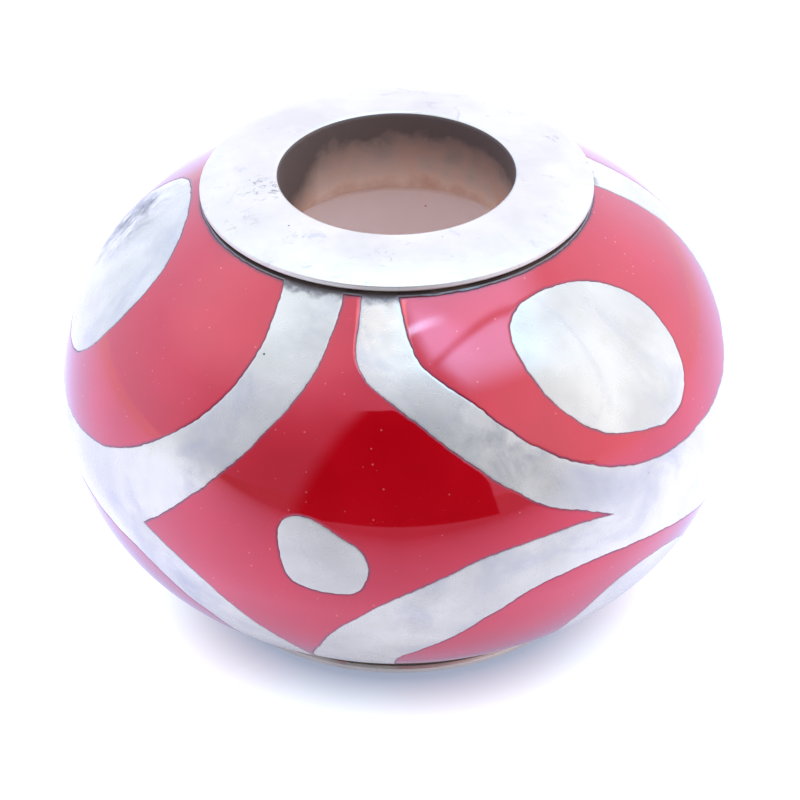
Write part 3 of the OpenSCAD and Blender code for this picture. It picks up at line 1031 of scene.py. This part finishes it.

# %% [markdown]
# ## The enamel
#
# Each cell holds one piece of glass. Its rim stands a hair clear of the silver, because
# glass shrinks as it cools. Along that hairline, a mauve stain painted from the stored
# distance draws the fine contour round every shape in the pattern.

# %% The nine pieces of enamel
def glass_loop(loop, way):
    """The rim of the glass beside one drawn line."""
    moved = side_step(loop, np.full(len(loop), way * HAIRLINE))
    return moved[np.abs(to_line(moved)[0]) > RIM_CLEAR * HAIRLINE]


GLASS_ROWS = [HAIRLINE + row for row in NEAR_ROWS]


def enamel_sheet(name, number):
    outer, island = ragged[name]
    loops = [glass_loop(outer, 1), glass_loop(island, -1)]
    rows = np.concatenate([beside(outer, 1, GLASS_ROWS), beside(island, -1, GLASS_ROWS)])
    reach, owner = to_line(rows)
    rows = rows[(reach > HAIRLINE + 0.012) & (owner == number)]
    inner = fine_field[(fine_reach > GLASS_CLEAR) & (fine_cell == number)]
    places, triangles, crossed = tiled(loops, spread(np.concatenate([rows, inner])))
    reach = to_line(places)[0]
    rim = sum(map(len, loops))
    reach[:rim] = HAIRLINE
    sheet = Sheet()
    top = sheet.points(places, glass_lift(places[:, 1], reach), 1.0, np.abs(reach) - HAIRLINE)
    low = sheet.points(places, seat_gap - recess_depth)
    sheet.add_faces(top[triangles])
    sheet.add_faces(low[triangles][:, ::-1])
    outside, middle = len(loops[0]), rim
    sheet.band(low[:outside], top[:outside])
    sheet.band(low[outside:middle][::-1], top[outside:middle][::-1])
    return sheet, crossed


enamels = {}
for number, name in enumerate(ragged):
    sheet, crossed = enamel_sheet(name, number)
    enamels[name] = run_tree(sheet.mesh(f"glass_{name}"), f"glass_{name}", wrap,
                             {**hand_inputs, "Finish": glass, "Lining finish": glass})
    print(name, len(enamels[name].data.polygons), "faces, crossed lines:", crossed)

# %% [markdown]
# ## The caps
#
# A cap is a turned part, so one half section says everything: the collar, the rounded lip
# at the hole, a flat ring, the dome and the thin rim. The section is a closed line whose
# corners are rounded as a burnisher leaves them. A second Geometry Nodes tree sweeps it
# round a circle and lets it waver by a few thousandths of a millimetre.

# %% Half section of a cap
CAP_SEGMENTS = 256
LIP_R, LAND_R, COLLAR_R, SEAT_R = 0.12, 2.72, 2.66, 3.6
RIM_RISE, RIM_THICK, COLLAR_LENGTH, CAP_GAP = 4.68, 0.14, 1.8, 0.04


def rounded(corners):
    """A closed line through [radius, rise, rounding] corners, with an arc at each."""
    line = []
    count = len(corners)
    for k, (x, y, rounding) in enumerate(corners):
        here = np.array([x, y])
        back = np.array(corners[k - 1][:2]) - here
        on = np.array(corners[(k + 1) % count][:2]) - here
        back, on = back / np.linalg.norm(back), on / np.linalg.norm(on)
        half = math.acos(np.clip(back @ on, -1, 1)) / 2
        if rounding == 0 or math.degrees(math.pi - 2 * half) < 4:
            line.append(here)
            continue
        bisector = (back + on) / np.linalg.norm(back + on)
        centre = here + bisector * rounding / math.sin(half)
        start = here + back * rounding / math.tan(half) - centre
        end = here + on * rounding / math.tan(half) - centre
        swing = math.atan2(start[0] * end[1] - start[1] * end[0], start @ end)
        for t in np.linspace(0, swing, 7):
            c, s = math.cos(t), math.sin(t)
            line.append(centre + np.array([c * start[0] - s * start[1], s * start[0] + c * start[1]]))
    return np.array(line)


def cap_section():
    top = height / 2
    seat = body_half + CAP_GAP
    drop, span = top - RIM_RISE, cap_r - LAND_R
    dome_r = (span ** 2 + drop ** 2) / (2 * drop)
    dome = [[x, top - dome_r + math.sqrt(dome_r ** 2 - (x - LAND_R) ** 2), 0]
            for x in np.linspace(LAND_R, cap_r, 40)[1:-1]]
    return rounded([
        [hole_r, top - COLLAR_LENGTH, 0.04], [COLLAR_R, top - COLLAR_LENGTH, 0.04], [COLLAR_R, seat, 0],
        [SEAT_R, seat, 0], [cap_r - 0.05, RIM_RISE - RIM_THICK, 0.02],
        [cap_r, RIM_RISE - RIM_THICK + 0.05, 0.02], [cap_r, RIM_RISE, 0.03]]
        + dome[::-1] + [[LAND_R, top, 0], [hole_r, top, LIP_R]])


def section_mesh(line, way):
    """The section as a closed line, for the upper cap (way 1) or the lower one (way -1)."""
    made = bpy.data.meshes.new("cap_section")
    count = len(line)
    made.from_pydata([((r - ring_r) * MM, -way * z * MM, 0) for r, z in line[::-way]],
                     [(k, (k + 1) % count) for k in range(count)], [])
    return made


# %% The spinning tree
def build_spin():
    tree, given = geometry_tree(
        "spin a section", Int=("Segments",), Material=("Finish", "Lining finish"),
        Float=("Rail radius", "Middle height", "Waver", "Waver width", "Seed", "Hole radius"))
    section = add(tree, "GeometryNodeMeshToCurve", (given["Geometry"],))
    rail = add(tree, "GeometryNodeCurvePrimitiveCircle", {
        "Resolution": given["Segments"], "Radius": given["Rail radius"]})
    swept = add(tree, "GeometryNodeCurveToMesh", (rail, section))
    up = add(tree, "ShaderNodeCombineXYZ", {"Z": given["Middle height"]})
    raised = add(tree, "GeometryNodeTransform", {"Geometry": swept, "Translation": up})
    fineness = add(tree, MATH, (1.0, given["Waver width"]), operation="DIVIDE")
    wavering = add(tree, NOISE, {"W": given["Seed"], "Detail": 2.0, "Scale": fineness},
                   noise_dimensions="4D")
    depth = add(tree, MATH, (wavering, given["Waver"]), operation="MULTIPLY")
    inwards = add(tree, MATH, (depth, -1.0), operation="MULTIPLY")
    offset = add(tree, VECTOR, (add(tree, "GeometryNodeInputNormal"), inwards), operation="SCALE")
    uneven = add(tree, "GeometryNodeSetPosition", {"Geometry": raised, "Offset": offset})
    place = add(tree, "GeometryNodeInputPosition")
    flat = add(tree, VECTOR, (place, (1.0, 1.0, 0.0)), operation="MULTIPLY")
    away = add(tree, VECTOR, (flat,), operation="LENGTH")
    inside = add(tree, "FunctionNodeCompare", (away, given["Hole radius"]),
                 data_type="FLOAT", operation="LESS_THAN")
    coat(tree, given, uneven, inside)
    return tree


spin = build_spin()
section = cap_section()
caps = {}
for name, way in (("cap_top", 1), ("cap_bottom", -1)):
    caps[name] = run_tree(section_mesh(section, way), f"{name}_silver", spin, {
        "Rail radius": ring_r * MM, "Middle height": mid_z * MM, "Segments": CAP_SEGMENTS,
        "Waver": 0.006 * MM, "Waver width": 1.2 * MM, "Seed": 3.0 + way,
        "Finish": cap_finish, "Lining finish": dull, "Hole radius": (hole_r + 0.03) * MM})
    print(name, len(caps[name].data.polygons), "faces")

# %% [markdown]
# ## Handing the pieces to the model
#
# Each piece rides on the model's one body and stands for one of its solids, so that
# plain solid is hidden. Smooth shading stops at the sharp edges.

# %% Pieces and solids
SHARP_EDGE = math.radians(35)


def settle(piece, node):
    """A finished piece stands for its solid: it is shaded smooth up to its sharp edges and rides on the
    body, and the solid is hidden.
    """
    piece.data.shade_smooth()
    piece.data.set_sharp_from_angle(angle=SHARP_EDGE)
    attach(piece, "root")
    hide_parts(node)


settle(body, "bead_body")
for name, piece in caps.items():
    settle(piece, name)
for name, piece in enamels.items():
    settle(piece, f"enamel_{name}")
print("pieces:", 1 + len(caps) + len(enamels))

# %% [markdown]
# ## Camera
#
# The photograph was taken with a long lens from in front and above. Its camera was worked
# out from the ellipses of the cap and the hole: how far up it stood, how far away, how
# large the bead appears and where its middle falls in the picture. The camera also leaned
# by three quarters of a degree. All of this is set without any lens shift, by aiming a
# little below the bead's middle.

# %% The photograph's camera
PICTURE_PX = 800
FOCAL_PX = 5705
MIDDLE_PX = (399.2, 377.3)
ELEVATION = math.radians(32.5)
LEAN = math.radians(-0.76)
DISTANCE = 118.7
SENSOR_MM = 36

middle = Vector((0, 0, mid_z * MM))
across = Vector((1, 0, 0))
above = Vector((0, math.sin(ELEVATION), math.cos(ELEVATION)))
back = Vector((0, -math.cos(ELEVATION), math.sin(ELEVATION)))
right = math.cos(LEAN) * across + math.sin(LEAN) * above
up = math.cos(LEAN) * above - math.sin(LEAN) * across
off_right = (MIDDLE_PX[0] - PICTURE_PX / 2) / FOCAL_PX
off_up = (PICTURE_PX / 2 - MIDDLE_PX[1]) / FOCAL_PX
aim = (-back - off_right * right - off_up * up).normalized()
right = (right - right.dot(aim) * aim).normalized()
up = right.cross(aim)

lens = bpy.data.cameras.new("long lens")
lens.sensor_width = SENSOR_MM
lens.lens = FOCAL_PX / PICTURE_PX * SENSOR_MM
lens.clip_start = 0.01
camera = bpy.data.objects.new("camera", lens)
turned = Matrix((right, up, -aim)).transposed().to_4x4()
camera.matrix_world = Matrix.Translation(middle + back * DISTANCE * MM) @ turned
bpy.context.scene.collection.objects.link(camera)
bpy.context.scene.camera = camera
print(f"lens {lens.lens:.1f} mm")

# %% [markdown]
# ## Floor and light
#
# The bead was photographed in a white light tent, on white paper lit from below, which is
# why nearly everything it mirrors is white. The one dark thing is the tent's open front:
# that is the crisp deep red patch in the middle of the enamel. So the world is a soft pale
# light with brighter and dimmer patches and a few soft panels in its ceiling, which give
# the enamel its lavender gleam by the cap. A dark card stands in front. A picture shows lit
# paper as plain white, but a glossy thing mirrors how bright it truly is, so the floor is
# made twice: one sheet for the eye and one, a hair above it, for reflections alone.

# %% Paper with a painted shadow, and flat stage pieces
# Painted light on the paper under the bead's hole
HOLE_GLOW = (1.30, 1.20, 1.25)


def paper_with_painted_shadow(tree, place, shades, dim, bright, far, shadow_reach_mm, front_mm=None):
    """White paper on a light table. Its glow carries painted light and shade: a painted shadow
    near the bead, a painted pool of light under its hole, and painted shade towards the front
    edge of the table."""
    paper = painted(tree, linear(shades[0]), (blotches(tree, place, (30,), 0.3, 0.7), shades[1]))
    away = add(tree, VECTOR, (place,), operation="LENGTH")
    glow = (*dim, 1)
    # The glow goes from the painted shadow by the bead to the far glow, with painted light under the hole
    for start_mm, end_mm, light in ((*shadow_reach_mm, bright), (25, 120, far), (2.9, 2.3, HOLE_GLOW)):
        share = add(tree, RANGE, (away, start_mm * MM, end_mm * MM))
        glow = add(tree, MIX, (share, glow, (*light, 1)), data_type="RGBA")
    level = 1.0
    # Painted shade towards the front edge of the table
    if front_mm:
        outer, inner = (mm * MM for mm in front_mm)
        part = add(tree, PARTS, (place,)).outputs
        to_side = add(tree, MATH, (part["X"],), operation="ABSOLUTE")
        back = summed(tree, part["Y"], (to_side, 0.45))
        level = add(tree, MATH, (add(tree, RANGE, (back, outer, inner, 0.25, 1)),
                                 add(tree, RANGE, (back, inner, 0, 0.6, 1))), operation="MULTIPLY")
    return {"Base Color": paper, "Roughness": 0.9, "Emission Color": glow, "Emission Strength": level}


def torn_card(tree, place):
    """Black card whose left edge is torn soft."""
    part = add(tree, PARTS, (place,)).outputs
    at = summed(tree, part["X"], (part["Z"], -0.29))
    torn = add(tree, RANGE, (at, -24 * MM, -18 * MM), interpolation_type="SMOOTHSTEP")
    card = add(tree, "ShaderNodeBsdfDiffuse", {"Color": linear("#050505")})
    return add(tree, "ShaderNodeMixShader", (torn, add(tree, "ShaderNodeBsdfTransparent"), card))


def quad(name, corners, material, seen_by):
    """A flat stage piece through four corners given in mm, seen only by some rays."""
    made = bpy.data.meshes.new(name)
    made.from_pydata([tuple(c * MM for c in corner) for corner in corners], [], [(0, 1, 2, 3)])
    made.materials.append(material)
    piece = bpy.data.objects.new(name, made)
    bpy.context.scene.collection.objects.link(piece)
    for ray in ("camera", "diffuse", "glossy", "shadow"):
        setattr(piece, "visible_" + ray, ray in seen_by)
    return piece


# %% The tent's measures
TENT_LIGHT = (0.93, 0.96, 1.32)
# Each patch: the turn from the front to the right and the angle up from the floor towards
# its middle, the angles at which it is full and gone, and the light that it adds
PATCHES = [
    [(180, 37), 10, 55, (0.40, 0.42, 0.50)],
    [(-122, 8), 10, 55, (0.30, 0.45, 0.60)],
    [(122, 8), 10, 55, (0.40, 0.50, 0.60)],
    [(78, 22), 5, 58, (0.50, 0.45, 0.30)],
    [(-32, 8), 8, 50, (-0.62, -0.64, -0.85)],
    [(0, 48), 5, 30, (-0.25, -0.26, -0.36)],
    [(34, 0), 6, 26, (-0.50, -0.52, -0.66)],
    [(-105, 58), 5, 35, (0.45, 0.60, 0.55)],
]
SEAM = math.radians(38)
ACROSS, ALONG = (-math.sin(SEAM), math.cos(SEAM)), (math.cos(SEAM), math.sin(SEAM))
RIGHTWARDS, BACKWARDS, SLANT = (1, 0), (0, 1), (-0.34, 1)
# Each panel: the light that it adds, and its edges. An edge is a direction across the
# ceiling, and the places along it where the panel is dark and where it is lit. The first
# two meet in a slanting seam, then come two streaks, and last a thin lamp.
PANELS = [
    [(0.90, 2.43, 3.70), (ACROSS, -0.347, -0.370), (ACROSS, -0.85, -0.39),
     (ALONG, -0.08, 0.03), (ALONG, 0.65, 0.34)],
    [(0.90, 1.70, 2.50), (ACROSS, -0.346, -0.322), (ALONG, -0.10, -0.03),
     (BACKWARDS, 0.45, 0.25), (RIGHTWARDS, 0.85, 0.55)],
    [(0.40, 0.90, 1.50), (BACKWARDS, -0.32, -0.24), (BACKWARDS, -0.12, -0.19),
     (ALONG, -0.10, -0.03), (RIGHTWARDS, 0.45, 0.20)],
    [(1.5, 6.0, 8.0), (SLANT, -0.254, -0.241), (SLANT, -0.216, -0.229),
     (RIGHTWARDS, 0.26, 0.05), (RIGHTWARDS, -0.02, 0.03)],
    [(2.6, 2.1, 1.7), (RIGHTWARDS, -0.21, -0.19), (RIGHTWARDS, 0.05, 0.02),
     (BACKWARDS, -0.29, -0.265), (BACKWARDS, -0.08, -0.14)],
]

world = bpy.data.worlds.new("light tent")
world.use_nodes = True
tent = world.node_tree
tent.nodes.clear()

# %% The tent's light: the even light, then patches, then panels
toward_sky = add(tent, "ShaderNodeTexCoord").outputs["Generated"]
part = add(tent, PARTS, (toward_sky,)).outputs
overhead = add(tent, MATH, (part["Z"], 0.1), operation="GREATER_THAN")
ceiling_x, ceiling_y = (add(tent, MATH, (part[axis], part["Z"]), operation="DIVIDE") for axis in ("X", "Y"))
light = add(tent, "ShaderNodeCombineXYZ", TENT_LIGHT)
for toward_deg, full_deg, gone_deg, extra in PATCHES:
    turn, climb = (math.radians(a) for a in toward_deg)
    toward = (math.sin(turn) * math.cos(climb), -math.cos(turn) * math.cos(climb), math.sin(climb))
    facing = add(tent, VECTOR, (toward_sky, toward), operation="DOT_PRODUCT")
    full, gone = (math.cos(math.radians(a)) for a in (full_deg, gone_deg))
    share = add(tent, RANGE, (facing, gone, full), interpolation_type="SMOOTHSTEP")
    light = add(tent, VECTOR, (share, extra, light), operation="MULTIPLY_ADD")
for extra, *edges in PANELS:
    share = overhead
    for (rightwards, backwards), dark, lit in edges:
        at = summed(tent, 0.0, (ceiling_x, rightwards), (ceiling_y, backwards))
        edge = add(tent, RANGE, (at, dark, lit), interpolation_type="SMOOTHSTEP")
        share = add(tent, MATH, (share, edge), operation="MULTIPLY")
    light = add(tent, VECTOR, (share, extra, light), operation="MULTIPLY_ADD")
add(tent, "ShaderNodeOutputWorld", {"Surface": add(tent, "ShaderNodeBackground", {"Color": light})})
bpy.context.scene.world = world
print("tent:", len(PATCHES), "patches,", len(PANELS), "panels")

# %% The dark card and the floor
FLOOR_MM = 3000
WHITE = (0.80, 0.85, 0.90)


def floor_corners(rise):
    return [(x * FLOOR_MM, y * FLOOR_MM, rise) for x, y in ((-1, -1), (1, -1), (1, 1), (-1, 1))]


# The sheet for the eye has a painted shadow round the bead; the sheet for reflections also has painted
# shade at the front
paper = finish(
    "white paper", paper_with_painted_shadow, ("#A2A2A6", "#A8A8AC"), (0.22, 0.26, 0.34),
    WHITE, WHITE, (3.8, 5.3))
lit_floor = finish(
    "white paper at its full brightness", paper_with_painted_shadow, ("#101012", "#121214"), (0.42, 0.44, 0.64),
    (1.5, 1.6, 2.4), (1.35, 1.42, 1.65), (4.3, 8.3), (-25, -10))
floor = quad("floor", floor_corners(0), paper, ("camera", "diffuse", "shadow"))
glow = quad("floor_glow", floor_corners(0.01), lit_floor, ("glossy",))
flag = quad("dark_flag", [(-26, -33, 0.8), (18, -33, 0.8), (11, -33, 40), (-14, -33, 40)],
            finish("black card", torn_card), ("glossy",))

scene = bpy.context.scene
scene.view_settings.view_transform = "Standard"
scene.view_settings.look = "None"
print("stage:", ", ".join(piece.name for piece in (floor, glow, flag)))
